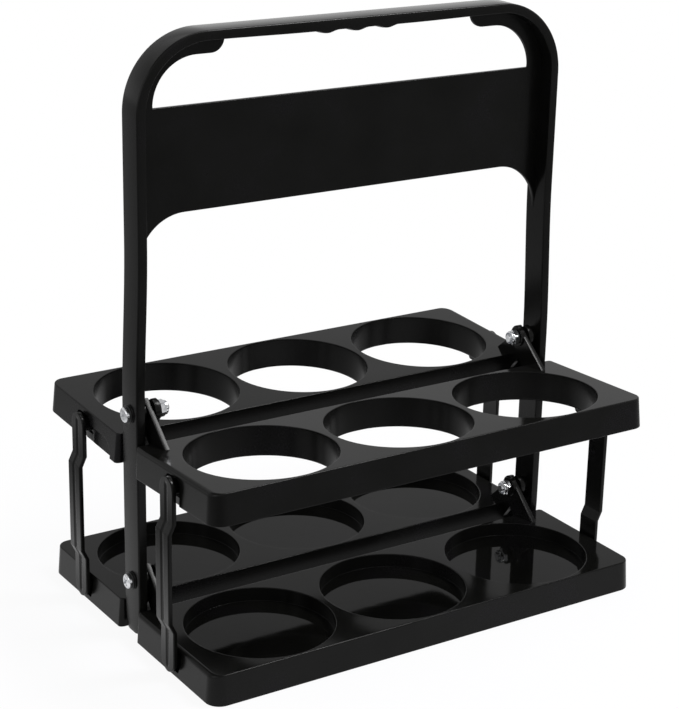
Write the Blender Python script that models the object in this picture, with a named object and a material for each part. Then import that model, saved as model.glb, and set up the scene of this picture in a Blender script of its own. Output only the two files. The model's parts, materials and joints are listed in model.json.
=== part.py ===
"""Folding carrier for six bottles: a loop handle frame, four trays, four links and four pivots.

Lengths are in metres. X runs along the trays, +Y to the back, +Z up; the origin is on the floor,
under the middle of the carrier. The trays hang on four screws in the handle frame's legs, and the
links tie each upper tray to the lower tray under it, so each side folds up as a parallelogram.
"""
import math

import bmesh
import bpy
from mathutils import Matrix, Vector

MM = 0.001
DEG = math.pi / 180

# Bottle holes, which set the trays' length and depth
HOLE_COUNT = 3
HOLE_RADIUS = 39.8 * MM
HOLE_TAPER = 0.8 * MM
HOLE_WEB = 4.0 * MM
HOLE_RIM = 1.3 * MM
TUBE_WALL = 1.6 * MM

# Trays
TRAY_HEIGHT = 16.6 * MM
TRAY_DRAFT = 1.2 * MM
TRAY_CORNER = 7.0 * MM
TRAY_INNER_CORNER = 2.2 * MM
TRAY_WALL = 2.0 * MM
DECK_THICKNESS = 2.0 * MM
DECK_FILLET = 0.6 * MM
END_FILLET = 2.4 * MM
CUP_DEPTH = 7.6 * MM
CUP_FLOOR = 2.0 * MM
UPPER_TILT = 2.6 * DEG

# Handle frame
HANDLE_INSET = 1.7 * MM
HANDLE_SPREAD = 2.5 * MM
SPREAD_DROP = 103.8 * MM
SPREAD_RUN = 90.0 * MM
HANDLE_TOP = 318.8 * MM
HANDLE_DEPTH = 16.4 * MM
HANDLE_THICKNESS = 5.0 * MM
HANDLE_CORNER = 40.0 * MM
HANDLE_CHAMFER = 0.9 * MM
LEG_FLOOR_CLEARANCE = 1.6 * MM
LEG_TRAY_CLEARANCE = 0.9 * MM
FOOT_TAPER_HEIGHT = 17.5 * MM
FOOT_NOSE_HEIGHT = 1.8 * MM
WEB_THICKNESS = 2.5 * MM
WEB_SET_BACK = 1.3 * MM
PANEL_DROP = 38.0 * MM
PANEL_HEIGHT = 54.3 * MM
PANEL_ARCH = 26.0 * MM
GUSSET_WIDTH = 8.7 * MM
GUSSET_DROP = 8.3 * MM
GUSSET_NOSE = 7.5 * MM
GRIP_CLEAR_WIDTH = 151.0 * MM
FINGER_PITCH = 18.2 * MM
FINGER_WIDTH = 14.0 * MM
FINGER_RISE = 1.9 * MM
FINGER_SHIFT = 2.9 * MM
GRIP_SWELL = 0.8 * MM
FINGER_COUNT = 3

# Pivot screws with their washers and lock nuts; the shank is as wide as its thread's pitch circle
PIVOT_SPACING = 93.5 * MM
PIVOT_RISE = 14.6 * MM
SCREW_RADIUS = 2.25 * MM
SCREW_HEAD_RADIUS = 4.0 * MM
SCREW_HEAD_HEIGHT = 2.1 * MM
SCREW_RECESS_SPAN = 4.6 * MM
SCREW_RECESS_WIDTH = 1.0 * MM
SCREW_RECESS_DEPTH = 1.3 * MM
SCREW_TIP_PROUD = 0.9 * MM
WASHER_RADIUS = 4.9 * MM
WASHER_THICKNESS = 0.8 * MM
NUT_FLATS = 8.0 * MM
NUT_HEX_HEIGHT = 3.2 * MM
NUT_HEIGHT = 4.8 * MM
NUT_COLLAR_RADIUS = 3.8 * MM
NUT_COLLAR_WALL = 0.35 * MM
NUT_CHAMFER = 0.3 * MM
NYLON_HEIGHT = 1.0 * MM
OUTER_BOSS_RADIUS = 4.9 * MM
OUTER_BOSS_HEIGHT = 0.3 * MM
INNER_BOSS_RADIUS = 4.5 * MM
INNER_BOSS_HEIGHT = 3.1 * MM

# Ears that carry each tray on its two screws
EAR_THICKNESS = 3.0 * MM
EAR_RADIUS = 6.5 * MM
EAR_SLOPE_REACH = 4.5 * MM
EAR_FOOT = 22.4 * MM
EAR_DEPTH = 9.0 * MM
EAR_BOSS_RADIUS = 5.6 * MM
EAR_BOSS_HEIGHT = 1.1 * MM

# Links and the pockets that take their pins
LINK_PIN_LIFT = 9.5 * MM
LINK_WIDTH = 13.6 * MM
LINK_THICKNESS = 2.3 * MM
LINK_STANDOFF = 1.8 * MM
LINK_BOW = 2.6 * MM
LINK_BOW_START = 16.8 * MM
LINK_BOW_RUN = 5.5 * MM
LINK_GROOVE_WIDTH = 2.2 * MM
LINK_GROOVE_DEPTH = 0.6 * MM
LINK_CHAMFER = 0.6 * MM
LINK_BOSS_RADIUS = 4.5 * MM
PIN_RADIUS = 2.5 * MM
PIN_BARB_RADIUS = 3.3 * MM
PIN_BARB_LENGTH = 0.9 * MM
PIN_BARB_NOSE = 0.5 * MM
PIN_BARB_ROOM = 1.6 * MM
BEARING_THICKNESS = 2.4 * MM
BEARING_DROP = 4.2 * MM
BEARING_CORNER = 2.0 * MM
RECESS_DEPTH = 4.8 * MM
RECESS_CHEEK = 2.0 * MM
UPPER_RECESS_HALF = 8.0 * MM
UPPER_RECESS_LIP = 3.0 * MM
UPPER_RECESS_CORNER = 5.0 * MM
LOWER_RECESS_TOP_HALF = 7.8 * MM
LOWER_RECESS_FOOT_HALF = 5.6 * MM
LOWER_RECESS_LIP = 2.2 * MM
LOWER_RECESS_SILL = 2.8 * MM
POCKET_DEPTH = 0.8 * MM
POCKET_LIP = 7.0 * MM
POCKET_CORNER = 10.0 * MM
POCKET_END = 7.4 * MM

# Clearances and cutting
GAP = 0.3 * MM
BITE = 0.8 * MM
OVERRUN = 6.0 * MM
HOLE_SIDES = 48
ROUND_SIDES = 16
CORNER_STEPS = 5
HANDLE_STEPS = 12

# Places worked out from the sizes above
HOLE_PITCH = 2 * HOLE_RADIUS + HOLE_WEB
END_RIM = TUBE_WALL + PIN_BARB_ROOM + BEARING_THICKNESS + RECESS_DEPTH
TRAY_HALF = HOLE_PITCH * (HOLE_COUNT - 1) / 2 + HOLE_RADIUS + END_RIM
TRAY_DEPTH = 2 * (HOLE_RADIUS + HOLE_RIM)
TRAY_INNER = HANDLE_DEPTH / 2 + LEG_TRAY_CLEARANCE
TRAY_OUTER = TRAY_INNER + TRAY_DEPTH
TRAY_MIDDLE = (TRAY_INNER + TRAY_OUTER) / 2
DECK = -PIVOT_RISE
TRAY_BOTTOM = DECK - TRAY_HEIGHT
LOWER_PIVOT = TRAY_HEIGHT + PIVOT_RISE
UPPER_PIVOT = LOWER_PIVOT + PIVOT_SPACING
HANDLE_HALF = TRAY_HALF - HANDLE_INSET
LEG_INNER = HANDLE_HALF - HANDLE_THICKNESS
LOOP_HALF = HANDLE_HALF - HANDLE_SPREAD
LOOP_INNER = LOOP_HALF - HANDLE_THICKNESS
PANEL_TOP = HANDLE_TOP - PANEL_DROP
PANEL_BOTTOM = PANEL_TOP - PANEL_HEIGHT
OUTER_EAR = LEG_INNER - INNER_BOSS_HEIGHT - GAP
INNER_EAR = OUTER_EAR - EAR_THICKNESS - 2 * GAP
NUT_FACE = INNER_EAR - EAR_THICKNESS - EAR_BOSS_HEIGHT - GAP
WASHER_FACE = HANDLE_HALF + OUTER_BOSS_HEIGHT + GAP
HEAD_FACE = WASHER_FACE + WASHER_THICKNESS + GAP
SCREW_TIP = NUT_FACE - NUT_HEIGHT - SCREW_TIP_PROUD
BORE_RADIUS = SCREW_RADIUS + GAP
RECESS_FLOOR = TRAY_HALF - RECESS_DEPTH
BEARING_BACK = RECESS_FLOOR - BEARING_THICKNESS
LINK_INNER = TRAY_HALF + LINK_STANDOFF
LINK_HALF = LINK_WIDTH / 2
LINK_PIN_DROP = LOWER_PIVOT - LINK_PIN_LIFT
LINK_PIN = Vector((0, TRAY_MIDDLE, -LINK_PIN_DROP))

ABS_COLOUR = (0.012, 0.012, 0.012, 1)
STEEL_COLOUR = (0.72, 0.73, 0.75, 1)
NYLON_COLOUR = (0.55, 0.56, 0.60, 1)


def material(name, colour, roughness, metallic):
    """One Principled finish."""
    finish = bpy.data.materials.new(name)
    finish.use_nodes = True
    shader = finish.node_tree.nodes["Principled BSDF"]
    shader.inputs["Base Color"].default_value = colour
    shader.inputs["Roughness"].default_value = roughness
    shader.inputs["Metallic"].default_value = metallic
    return finish


def piece(name, mesh, finish=None):
    """An object that holds the mesh; without a finish it is a cutter, which isn't rendered."""
    obj = bpy.data.objects.new(name, mesh)
    bpy.context.scene.collection.objects.link(obj)
    if finish:
        mesh.materials.append(finish)
    else:
        obj.hide_render = True
        obj.display_type = 'WIRE'
    return obj


def boolean(target, tool, operation):
    """Adds one exact Boolean step to the target."""
    step = target.modifiers.new(tool.name, 'BOOLEAN')
    step.operation = operation
    step.solver = 'EXACT'
    step.object = tool
    tool.parent = target


def skin(name, rings, closed=False):
    """A mesh through rings of equal length; the ends are capped, or joined when closed."""
    build = bmesh.new()
    rows = [[build.verts.new(point) for point in ring] for ring in rings]
    pairs = list(zip(rows, rows[1:]))
    if closed:
        pairs.append((rows[-1], rows[0]))
    else:
        build.faces.new(list(reversed(rows[0])))
        build.faces.new(rows[-1])
    for low, high in pairs:
        for i in range(len(low)):
            j = (i + 1) % len(low)
            build.faces.new((low[i], low[j], high[j], high[i]))
    bmesh.ops.recalc_face_normals(build, faces=build.faces)
    mesh = bpy.data.meshes.new(name)
    build.to_mesh(mesh)
    build.free()
    return mesh


def joined(name, meshes):
    """One mesh that holds several separate ones."""
    build = bmesh.new()
    for mesh in meshes:
        build.from_mesh(mesh)
    mesh = bpy.data.meshes.new(name)
    build.to_mesh(mesh)
    build.free()
    return mesh


def arc(centre, radius, start, end, steps):
    """Points of a flat arc, both ends included, with the angles in degrees."""
    turns = [(start + (end - start) * i / steps) * DEG for i in range(steps + 1)]
    return [(centre[0] + radius * math.cos(a), centre[1] + radius * math.sin(a)) for a in turns]


def rounded_rectangle(low, high, near, far, steps=CORNER_STEPS):
    """An anticlockwise rectangle; its low-y corners have the near radius, the others the far one."""
    corners = [(1, high[0], high[1] - far, far, 0), (-1, low[0], high[1] - far, far, 90),
               (-1, low[0], low[1] + near, near, 180), (1, high[0], low[1] + near, near, 270)]
    return [p for side, x, y, radius, turn in corners
            for p in arc((x - side * radius, y), radius, turn, turn + 90, steps)]


def plate(name, outline, start, end):
    """A Y-Z outline carried along X from start to end."""
    return skin(name, [[(x, y, z) for y, z in outline] for x in (start, end)])


def upright(name, outline, start, end):
    """An X-Z outline carried along Y from start to end."""
    return skin(name, [[(x, y, z) for x, z in outline] for y in (start, end)])


def turned_along_x(name, profile, sides, centre=(0, 0), closed=False):
    """A round body about an axis along X; the profile is a list of (x, radius)."""
    rings = []
    for x, radius in profile:
        turns = [2 * math.pi * i / sides for i in range(sides)]
        rings.append([(x, centre[0] + radius * math.cos(a), centre[1] + radius * math.sin(a))
                      for a in turns])
    return skin(name, rings, closed)


def turned_along_z(name, centre, profile, sides):
    """A round body about an upright axis; the profile is a list of (z, radius)."""
    rings = []
    for z, radius in profile:
        turns = [2 * math.pi * i / sides for i in range(sides)]
        rings.append([(centre[0] + radius * math.cos(a), centre[1] + radius * math.sin(a), z)
                      for a in turns])
    return skin(name, rings)


def smooth(obj):
    """Smooth shading with crisp edges."""
    obj.data.shade_smooth()
    obj.data.set_sharp_from_angle(angle=30 * DEG)


def hole_places():
    """X of each bottle hole."""
    return [(i - (HOLE_COUNT - 1) / 2) * HOLE_PITCH for i in range(HOLE_COUNT)]


def hole_levels(cup_tray):
    """From where to where a bottle hole is cut: right through, or above and below a cup's floor."""
    under, over = TRAY_BOTTOM - OVERRUN, DECK + OVERRUN
    if not cup_tray:
        return [(under, over)]
    floor = DECK - CUP_DEPTH
    return [(under, floor - CUP_FLOOR), (floor, over)]


def hole_radius(z):
    """A bottle hole's radius at height z: it narrows downward from the deck."""
    return HOLE_RADIUS + HOLE_TAPER * (z - DECK) / TRAY_HEIGHT


def tray_outline(spread, inset, z):
    """The tray's outline at height z: the draft spreads its ends and outer side, not its inner side."""
    low = (inset - spread - TRAY_HALF, TRAY_INNER + inset)
    high = (TRAY_HALF + spread - inset, TRAY_OUTER + spread - inset)
    near, far = TRAY_INNER_CORNER - inset, TRAY_CORNER - inset
    return [(x, y, z) for x, y in rounded_rectangle(low, high, near, far)]


def tray_shell():
    """The moulding's outer form, from its bottom edge to the filleted deck edge."""
    rings = [tray_outline(TRAY_DRAFT, 0, TRAY_BOTTOM)]
    for turn in (0, 30, 60, 90):
        inset = DECK_FILLET * (1 - math.cos(turn * DEG))
        z = DECK - DECK_FILLET * (1 - math.sin(turn * DEG))
        rings.append(tray_outline(0, inset, z))
    return skin("tray_shell", rings)


def end_fillet():
    """The cutter that rounds the deck's edge at the right end more than along the other sides."""
    edge = TRAY_HALF + TRAY_DRAFT * END_FILLET / TRAY_HEIGHT
    low, high = DECK - END_FILLET, DECK + OVERRUN
    bend = arc((edge - END_FILLET, low), END_FILLET, 0, 90, CORNER_STEPS)
    outline = [(edge + OVERRUN, low)] + bend + [(edge - END_FILLET, high), (edge + OVERRUN, high)]
    return upright("end_fillet", outline, 0, TRAY_OUTER + OVERRUN)


def ear_outline():
    """The gusset from the deck up round the screw and down to the tray's inner wall."""
    foot = Vector((EAR_FOOT, DECK))
    root = Vector((TRAY_INNER + BITE, DECK - EAR_DEPTH))
    square = math.atan2(foot.y, foot.x) + math.acos(EAR_SLOPE_REACH / foot.length)
    start = square + math.acos(EAR_SLOPE_REACH / EAR_RADIUS)
    end = math.atan2(root.y, root.x) - math.acos(EAR_RADIUS / root.length)
    crown = arc((0, 0), EAR_RADIUS, start / DEG, end / DEG + 360, 2 * CORNER_STEPS)
    sunk = DECK - DECK_THICKNESS + GAP
    foot_end = (TRAY_INNER + TRAY_WALL - GAP, root.y)
    return [(EAR_FOOT, sunk), tuple(foot)] + crown + [tuple(root), foot_end, (foot_end[0], sunk)]


def recess_outline(pin, cup_tray):
    """The opening in an end wall behind the link: open at the bottom, or tapered above a sill."""
    if cup_tray:
        top = DECK - LOWER_RECESS_LIP
        sill = TRAY_BOTTOM + LOWER_RECESS_SILL
        foot, head = LOWER_RECESS_FOOT_HALF, LOWER_RECESS_TOP_HALF
        return [(pin.y - foot, sill), (pin.y + foot, sill), (pin.y + head, top), (pin.y - head, top)]
    top = DECK - UPPER_RECESS_LIP
    half, corner = UPPER_RECESS_HALF, UPPER_RECESS_CORNER
    right = arc((pin.y + half - corner, top - corner), corner, 0, 90, CORNER_STEPS)
    left = arc((pin.y - half + corner, top - corner), corner, 90, 180, CORNER_STEPS)
    floor = TRAY_BOTTOM - OVERRUN
    return [(pin.y - half, floor), (pin.y + half, floor)] + right + left


def pocket_outline(pin):
    """The shallow pocket in an upper tray's left end wall, from the link in to the inner corner."""
    start = TRAY_INNER + POCKET_END
    top = DECK - POCKET_LIP
    corner = arc((start + POCKET_CORNER, top - POCKET_CORNER), POCKET_CORNER, 90, 180, CORNER_STEPS)
    floor = TRAY_BOTTOM - OVERRUN
    return [(start, floor), (pin.y, floor), (pin.y, top)] + corner


def tray(name, cup_tray, tilt, turn, pivot_height, finish):
    """One tray about its pivot axis: shell, tubes, ears, bottle holes, recesses and bores."""
    lean = Matrix.Rotation(-tilt, 4, 'X')
    pin = lean @ LINK_PIN
    body = piece(name, tray_shell(), finish)
    boolean(body, piece(name + "_end", end_fillet()), 'DIFFERENCE')
    inner = rounded_rectangle((-TRAY_HALF + TRAY_WALL, TRAY_INNER + TRAY_WALL),
                              (TRAY_HALF - TRAY_WALL, TRAY_OUTER - TRAY_WALL),
                              GAP, TRAY_CORNER - TRAY_WALL)
    levels = (TRAY_BOTTOM - OVERRUN, DECK - DECK_THICKNESS)
    hollow = piece(name + "_hollow", skin("hollow", [[(x, y, z) for x, y in inner] for z in levels]))
    span = (TRAY_BOTTOM - 2 * OVERRUN, DECK + OVERRUN)
    tube = HOLE_RADIUS + TUBE_WALL
    tubes = [turned_along_z("tube", (x, TRAY_MIDDLE), [(z, tube) for z in span], HOLE_SIDES)
             for x in hole_places()]
    bearing = UPPER_RECESS_HALF + RECESS_CHEEK
    box = [(pin.y - bearing, span[0]), (pin.y + bearing, span[0]),
           (pin.y + bearing, span[1]), (pin.y - bearing, span[1])]
    for tool in tubes:
        boolean(hollow, piece(name + "_tube", tool), 'DIFFERENCE')
    for side in (-1, 1):
        ends = (side * BEARING_BACK, side * (TRAY_HALF + OVERRUN))
        boolean(hollow, piece(name + "_bearing", plate("bearing", box, *ends)), 'DIFFERENCE')
    boolean(body, hollow, 'DIFFERENCE')
    ears = [plate("ear", ear_outline(), -INNER_EAR, -INNER_EAR + EAR_THICKNESS),
            plate("ear", ear_outline(), OUTER_EAR - EAR_THICKNESS, OUTER_EAR)]
    boss = [(EAR_THICKNESS - INNER_EAR - BITE, EAR_BOSS_RADIUS),
            (EAR_THICKNESS + EAR_BOSS_HEIGHT - INNER_EAR, EAR_BOSS_RADIUS)]
    boolean(body, piece(name + "_boss", turned_along_x("ear_boss", boss, ROUND_SIDES)), 'UNION')
    if not cup_tray:
        lug = rounded_rectangle((pin.y - UPPER_RECESS_HALF + GAP, TRAY_BOTTOM - BEARING_DROP),
                                (pin.y + UPPER_RECESS_HALF - GAP, TRAY_BOTTOM + BEARING_CORNER),
                                BEARING_CORNER, GAP)
        ears += [plate("lug", lug, side * (BEARING_BACK + GAP), side * (RECESS_FLOOR + GAP))
                 for side in (-1, 1)]
    boolean(body, piece(name + "_ears", joined("ears", ears)), 'UNION')
    bores = []
    for x in hole_places():
        for low, high in hole_levels(cup_tray):
            steps = [(z, hole_radius(z)) for z in (low, high)]
            bores.append(turned_along_z("bottle", (x, TRAY_MIDDLE), steps, HOLE_SIDES))
    boolean(body, piece(name + "_bottles", joined("bottles", bores)), 'DIFFERENCE')
    far = TRAY_HALF + OVERRUN
    cuts = [plate("recess", recess_outline(pin, cup_tray), side * RECESS_FLOOR, side * far)
            for side in (-1, 1)]
    boolean(body, piece(name + "_recesses", joined("recesses", cuts)), 'DIFFERENCE')
    if not cup_tray:
        pocket = plate("pocket", pocket_outline(pin), POCKET_DEPTH - TRAY_HALF, -far)
        boolean(body, piece(name + "_pocket", pocket), 'DIFFERENCE')
    reach = [side * x for side in (-1, 1) for x in (BEARING_BACK - GAP, RECESS_FLOOR + GAP)]
    drills = [turned_along_x("pin_hole", [(x, PIN_RADIUS + GAP) for x in pair], ROUND_SIDES,
                             (pin.y, pin.z)) for pair in (reach[:2], reach[2:])]
    drills += [turned_along_x("bore", [(side * x, BORE_RADIUS) for x in (NUT_FACE, LEG_INNER)],
                              ROUND_SIDES) for side in (-1, 1)]
    boolean(body, piece(name + "_bores", joined("bores", drills)), 'DIFFERENCE')
    body.matrix_world = (Matrix.Translation((0, 0, pivot_height)) @ Matrix.Rotation(turn, 4, 'Z')
                         @ Matrix.Rotation(tilt, 4, 'X'))
    smooth(body)
    return body


def leg_stations():
    """The frame's path up a leg, as (x, height above the floor, half depth), with its soft S-bend."""
    half = HANDLE_DEPTH / 2
    nose = LEG_FLOOR_CLEARANCE + FOOT_NOSE_HEIGHT
    nose_share, tip_share = 0.76, 0.4
    path = [(HANDLE_HALF, LEG_FLOOR_CLEARANCE, half * tip_share),
            (HANDLE_HALF, nose, half * nose_share), (HANDLE_HALF, nose + FOOT_TAPER_HEIGHT, half)]
    start = HANDLE_TOP - SPREAD_DROP - SPREAD_RUN
    for i in range(HANDLE_STEPS + 1):
        share = i / HANDLE_STEPS
        bend = share * share * (3 - 2 * share)
        path.append((HANDLE_HALF - HANDLE_SPREAD * bend, start + SPREAD_RUN * share, half))
    return path


def handle_band():
    """The frame's outer band: a flat section carried up one leg, round and down the other."""
    half = HANDLE_DEPTH / 2
    corner_x = LOOP_HALF - HANDLE_CORNER
    corner_z = HANDLE_TOP - HANDLE_CORNER
    right = [(x, z, 1, 0, depth, 0) for x, z, depth in leg_stations()]
    for i in range(HANDLE_STEPS + 1):
        turn = 90 * DEG * i / HANDLE_STEPS
        across, up = math.cos(turn), math.sin(turn)
        right.append((corner_x + HANDLE_CORNER * across, corner_z + HANDLE_CORNER * up,
                      across, up, half, 0))
    grip = []
    for i in range(FINGER_COUNT):
        middle = ((FINGER_COUNT - 1) / 2 - i) * FINGER_PITCH - FINGER_SHIFT
        for share in (1, 2 / 3, 1 / 3, 0, -1 / 3, -2 / 3, -1):
            rise = GRIP_SWELL + FINGER_RISE * (1 + math.cos(math.pi * share)) / 2
            grip.append((middle + share * FINGER_WIDTH / 2, HANDLE_TOP, 0, 1, half, rise))
    left = [(-x, z, -across, up, depth, rise) for x, z, across, up, depth, rise in reversed(right)]
    rings, edge_loss_share = [], 0.3
    for x, z, across, up, depth, rise in right + grip + left:
        crown = [(HANDLE_THICKNESS + rise * (1 - edge_loss_share * share * share), share * depth)
                 for share in (1, 0.5, 0, -0.5, -1)]
        section = [(0, depth - HANDLE_CHAMFER), (HANDLE_CHAMFER, depth)] + crown
        section += [(HANDLE_CHAMFER, -depth), (0, HANDLE_CHAMFER - depth)]
        rings.append([(x - across * s, y, z - up * s) for s, y in section])
    return skin("handle_band", rings)


def web_outline():
    """The web's outline, inside the band: round the handle's corners and over the arch."""
    radius = HANDLE_CORNER - HANDLE_THICKNESS / 2
    edge = LOOP_HALF - HANDLE_THICKNESS / 2
    centre = (LOOP_HALF - HANDLE_CORNER, HANDLE_TOP - HANDLE_CORNER)
    arch = (LOOP_INNER - PANEL_ARCH, PANEL_BOTTOM - PANEL_ARCH)
    right = [(edge, arch[1])] + arc(centre, radius, 0, 90, HANDLE_STEPS)
    under = arc(arch, PANEL_ARCH, 0, 90, HANDLE_STEPS)
    left = [(-x, z) for x, z in reversed(right)]
    return right + left + [(-x, z) for x, z in under] + list(reversed(under))


def grip_opening():
    """The opening for the hand, over the panel and under the grip, with the gussets' noses."""
    side = LOOP_INNER - GUSSET_WIDTH
    grip = HANDLE_TOP - HANDLE_THICKNESS
    top = grip - GUSSET_DROP
    radius = top - PANEL_TOP
    corner = arc((side - radius, PANEL_TOP), radius, 0, 90, HANDLE_STEPS)
    nose_x = GRIP_CLEAR_WIDTH / 2 + GUSSET_NOSE
    nose = arc((nose_x, top + GUSSET_NOSE), GUSSET_NOSE, 270, 180, CORNER_STEPS)
    over = HANDLE_TOP
    right = corner + nose + [(nose_x - GUSSET_NOSE, over)]
    return right + [(-x, z) for x, z in reversed(right)]


def handle_frame(finish):
    """The frame: band, web with panel and gussets, pivot bosses and bores."""
    frame = piece("handle_frame", handle_band(), finish)
    web_back = WEB_SET_BACK + WEB_THICKNESS
    web = piece("web", upright("web", web_outline(), WEB_SET_BACK, web_back))
    cut = upright("grip_opening", grip_opening(), -HANDLE_DEPTH, HANDLE_DEPTH)
    boolean(web, piece("grip_opening", cut), 'DIFFERENCE')
    boolean(frame, web, 'UNION')
    bosses, bores = [], []
    for side in (-1, 1):
        for z in (LOWER_PIVOT, UPPER_PIVOT):
            outer = [(side * (HANDLE_HALF + OUTER_BOSS_HEIGHT), OUTER_BOSS_RADIUS),
                     (side * (HANDLE_HALF - BITE), OUTER_BOSS_RADIUS)]
            inner = [(side * (LEG_INNER + BITE), INNER_BOSS_RADIUS),
                     (side * (LEG_INNER - INNER_BOSS_HEIGHT), INNER_BOSS_RADIUS)]
            drill = [(side * WASHER_FACE, BORE_RADIUS), (side * INNER_EAR, BORE_RADIUS)]
            bosses.append(turned_along_x("boss", outer, ROUND_SIDES, (0, z)))
            bosses.append(turned_along_x("boss", inner, ROUND_SIDES, (0, z)))
            bores.append(turned_along_x("bore", drill, ROUND_SIDES, (0, z)))
    boolean(frame, piece("bosses", joined("bosses", bosses)), 'UNION')
    boolean(frame, piece("frame_bores", joined("frame_bores", bores)), 'DIFFERENCE')
    smooth(frame)
    return frame


def link_section(z, half, inner):
    """One level of a link: flat inside, with a groove between two ribs outside."""
    narrow = half / LINK_HALF
    groove = LINK_GROOVE_WIDTH / 2 * narrow
    edge = LINK_CHAMFER * narrow
    outer = inner + LINK_THICKNESS
    right = [(half, inner), (half, outer - LINK_CHAMFER), (half - edge, outer),
             (groove + edge, outer), (groove, outer - LINK_GROOVE_DEPTH)]
    left = [(-y, x) for y, x in reversed(right)]
    return [(x, y, z) for y, x in right + left]


def link_strap():
    """The link's strap about its upper pin: round ends, bowed outward between the two pins."""
    start_turn, turn_steps = 78, 4
    levels = []
    for i in range(turn_steps + 1):
        turn = start_turn * (1 - i / turn_steps) * DEG
        levels.append((LINK_HALF * math.sin(turn), LINK_HALF * math.cos(turn), LINK_INNER))
    levels.append((-LINK_BOW_START, LINK_HALF, LINK_INNER))
    levels.append((-LINK_BOW_START - LINK_BOW_RUN, LINK_HALF, LINK_INNER + LINK_BOW))
    levels += [(-PIVOT_SPACING - z, half, inner) for z, half, inner in reversed(levels)]
    return skin("link_strap", [link_section(*level) for level in levels])


def link(name, side, row, finish):
    """A link with its two bosses and barbed pins; its origin is on the upper pin's axis."""
    body = piece(name, link_strap(), finish)
    barb = BEARING_BACK - GAP
    profile = [(LINK_INNER + BITE, LINK_BOSS_RADIUS), (RECESS_FLOOR + GAP, LINK_BOSS_RADIUS),
               (RECESS_FLOOR + GAP, PIN_RADIUS), (barb, PIN_RADIUS), (barb, PIN_BARB_RADIUS),
               (barb - PIN_BARB_LENGTH + PIN_BARB_NOSE, PIN_BARB_RADIUS),
               (barb - PIN_BARB_LENGTH, PIN_RADIUS)]
    pins = [turned_along_x("pin", profile, ROUND_SIDES, (0, z)) for z in (0, -PIVOT_SPACING)]
    boolean(body, piece(name + "_pins", joined("pins", pins)), 'UNION')
    body.location = (0, row * LINK_PIN.y, UPPER_PIVOT + LINK_PIN.z)
    body.rotation_euler = (0, 0, 0 if side > 0 else math.pi)
    smooth(body)
    return body


def screw_mesh():
    """A pan head screw along X, its head outward."""
    dome_shares = [(0.45, 1.0), (0.8, 0.86), (0.95, 0.6), (1.0, 0.3)]
    profile = [(SCREW_TIP, SCREW_RADIUS - NUT_CHAMFER), (SCREW_TIP + NUT_CHAMFER, SCREW_RADIUS),
               (HEAD_FACE, SCREW_RADIUS), (HEAD_FACE, SCREW_HEAD_RADIUS)]
    profile += [(HEAD_FACE + SCREW_HEAD_HEIGHT * x, SCREW_HEAD_RADIUS * r) for x, r in dome_shares]
    return turned_along_x("pivot_screw", profile, ROUND_SIDES)


def cross_mesh(turned):
    """One slot of the head's cross recess."""
    wide, narrow = SCREW_RECESS_SPAN / 2, SCREW_RECESS_WIDTH / 2
    y, z = (wide, narrow) if turned else (narrow, wide)
    top = HEAD_FACE + SCREW_HEAD_HEIGHT
    return plate("slot", [(-y, -z), (y, -z), (y, z), (-y, z)], top - SCREW_RECESS_DEPTH, top + OVERRUN)


def washer_mesh():
    """The plain washer under the screw's head."""
    profile = [(WASHER_FACE, BORE_RADIUS), (WASHER_FACE, WASHER_RADIUS),
               (WASHER_FACE + WASHER_THICKNESS, WASHER_RADIUS),
               (WASHER_FACE + WASHER_THICKNESS, BORE_RADIUS)]
    return turned_along_x("screw_washer", profile, ROUND_SIDES, closed=True)


def nut_mesh():
    """A lock nut: hexagon, collar, bore and the seat of its nylon ring."""
    sides = 12
    hexagon = NUT_FLATS / 2
    collar = NUT_COLLAR_RADIUS
    seat = collar - NUT_COLLAR_WALL
    levels = [(0, hexagon, False), (NUT_CHAMFER, hexagon, True),
              (NUT_HEX_HEIGHT - NUT_CHAMFER, hexagon, True), (NUT_HEX_HEIGHT, collar, False),
              (NUT_HEIGHT - NUT_CHAMFER, collar, False), (NUT_HEIGHT, seat + NUT_CHAMFER / 2, False),
              (NUT_HEIGHT, seat, False), (NUT_HEX_HEIGHT, seat, False),
              (NUT_HEX_HEIGHT, BORE_RADIUS, False), (0, BORE_RADIUS, False)]
    rings = []
    for depth, radius, angular in levels:
        ring = []
        for i in range(sides):
            reach = radius / math.cos(30 * DEG) if angular and i % 2 == 0 else radius
            turn = 2 * math.pi * i / sides
            ring.append((NUT_FACE - depth, reach * math.cos(turn), reach * math.sin(turn)))
        rings.append(ring)
    return skin("lock_nut", rings, closed=True)


def nylon_mesh():
    """The nylon locking ring in the nut's collar."""
    outer = NUT_COLLAR_RADIUS - NUT_COLLAR_WALL - GAP
    start = NUT_FACE - NUT_HEX_HEIGHT - GAP
    profile = [(start, BORE_RADIUS), (start, outer), (start - NYLON_HEIGHT, outer),
               (start - NYLON_HEIGHT, BORE_RADIUS)]
    return turned_along_x("nylon_ring", profile, ROUND_SIDES, closed=True)


def pivots(steel, plastic, nylon):
    """The screw, washer, lock nut and nylon ring at each of the four pivots."""
    meshes = [("pivot_screw", screw_mesh(), steel), ("screw_washer", washer_mesh(), plastic),
              ("lock_nut", nut_mesh(), steel), ("nylon_ring", nylon_mesh(), nylon)]
    slots = [cross_mesh(False), cross_mesh(True)]
    for level, height in (("lower", LOWER_PIVOT), ("upper", UPPER_PIVOT)):
        for side, turn in (("left", math.pi), ("right", 0)):
            for name, mesh, finish in meshes:
                obj = piece(f"{name}_{level}_{side}", mesh.copy(), finish)
                obj.location = (0, 0, height)
                obj.rotation_euler = (0, 0, turn)
                smooth(obj)
                if name == "pivot_screw":
                    for slot in slots:
                        boolean(obj, piece(f"slot_{level}_{side}", slot.copy()), 'DIFFERENCE')


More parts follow.
